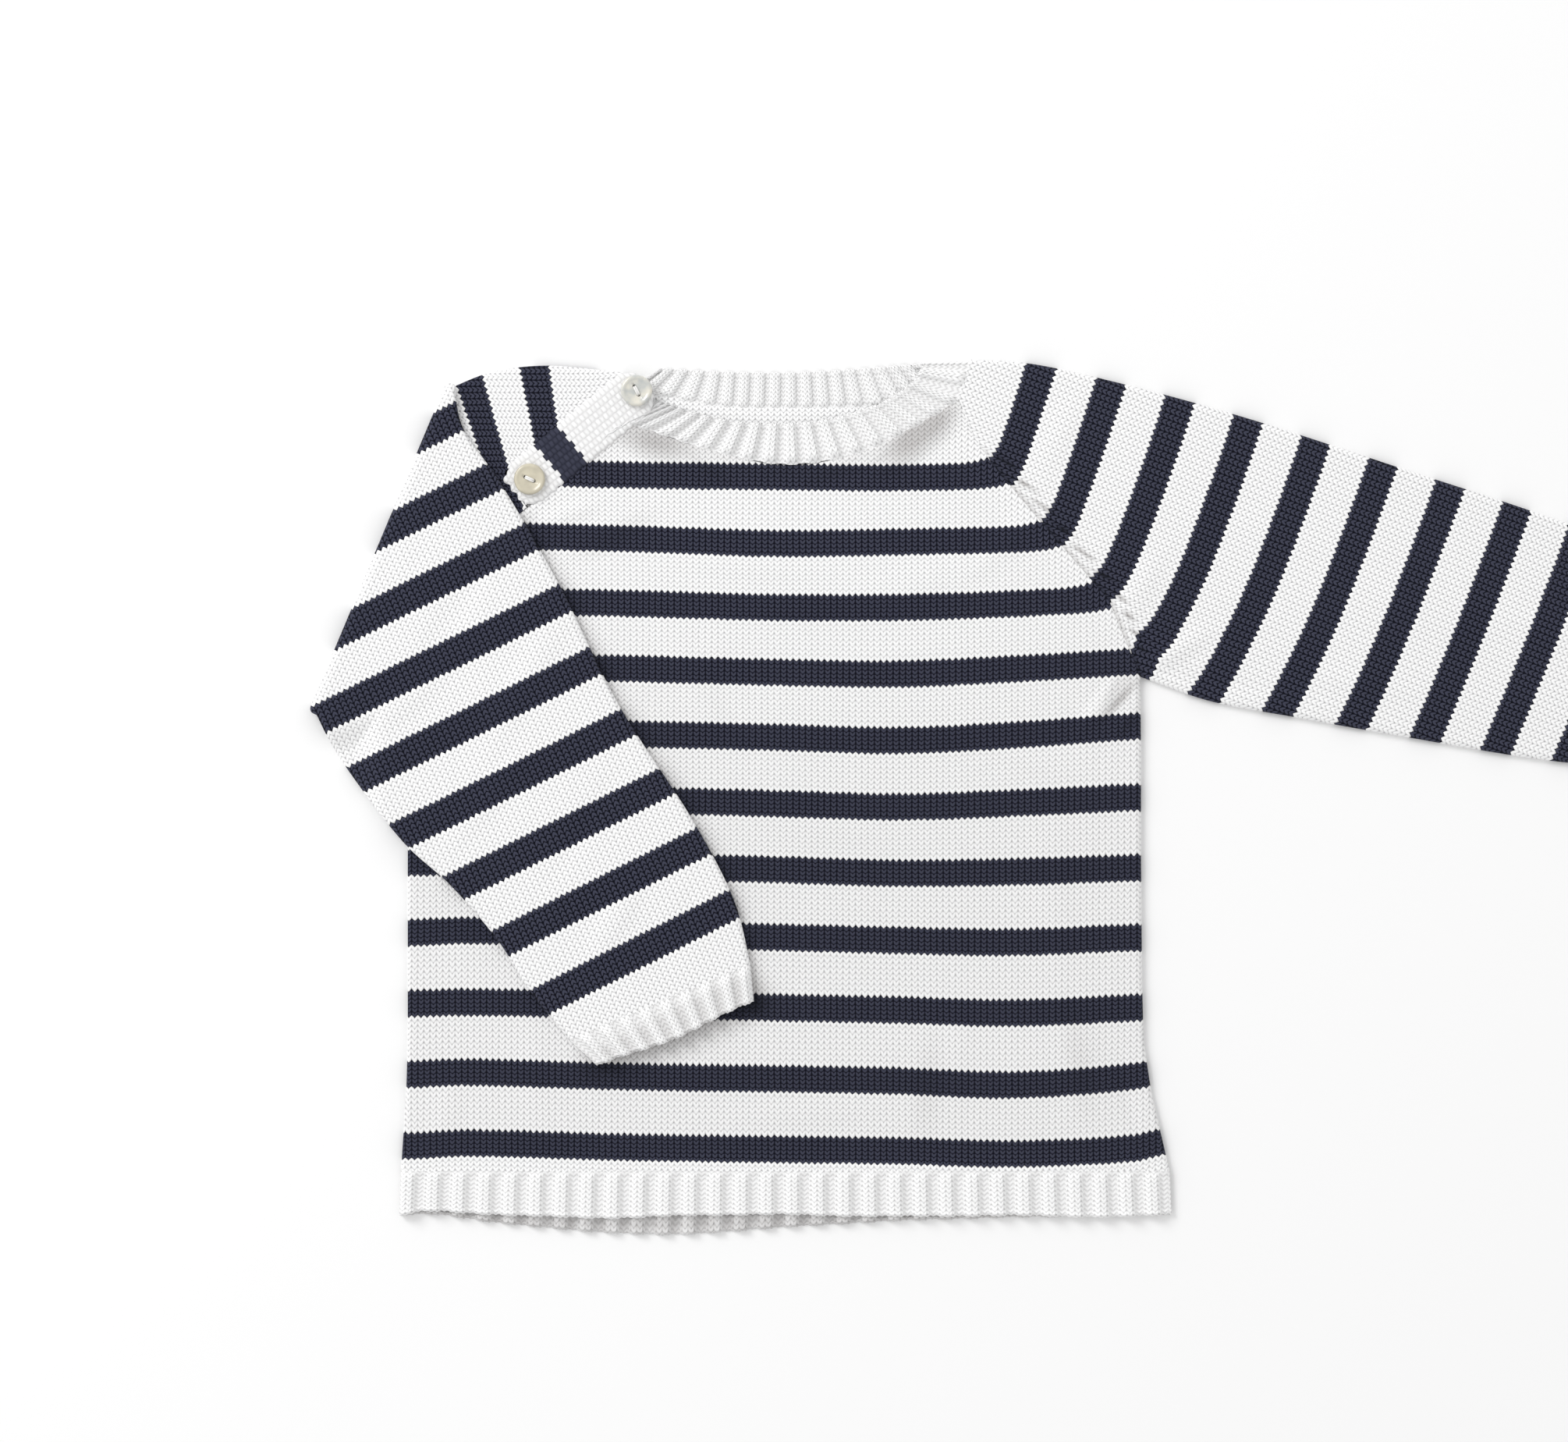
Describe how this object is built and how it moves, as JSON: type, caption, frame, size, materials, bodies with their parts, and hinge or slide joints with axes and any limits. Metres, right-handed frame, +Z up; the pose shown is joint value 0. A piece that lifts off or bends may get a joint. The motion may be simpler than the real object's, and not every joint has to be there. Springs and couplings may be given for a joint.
{
  "type": "striped baby sweater",
  "caption": "Small child's white cotton sweater with navy stripes, raglan sleeves, ribbed edges and a buttoned raglan placket, laid flat with its left sleeve folded over the front.",
  "frame": {"origin": "middle of the laid out sweater's bounding box, on the surface that it lies on", "axes": "+X towards the picture's right, where the right sleeve runs, +Y towards the neck, +Z up from the surface"},
  "size_m": [0.5718, 0.3366, 0.0084],
  "materials": {
    "striped_knit": "matte cotton stockinette, white with navy stripes",
    "rib_knit": "matte white cotton, two by two rib",
    "moss_knit": "matte cotton moss stitch, white with the navy stripes carried on",
    "pearl_button": "pearly gloss",
    "cream_button": "soft gloss, cream"
  },
  "bodies": {
    "root": {"back": "striped_knit", "front": "striped_knit", "right_sleeve": "striped_knit", "left_sleeve": "striped_knit", "front_hem_rib": "rib_knit", "back_hem_rib": "rib_knit", "right_cuff": "rib_knit", "left_cuff": "rib_knit", "neckband": "rib_knit", "button_band": "moss_knit", "buttonhole_band": "moss_knit", "button_upper": "pearl_button", "button_lower": "cream_button"}
  },
  "joints": []
}
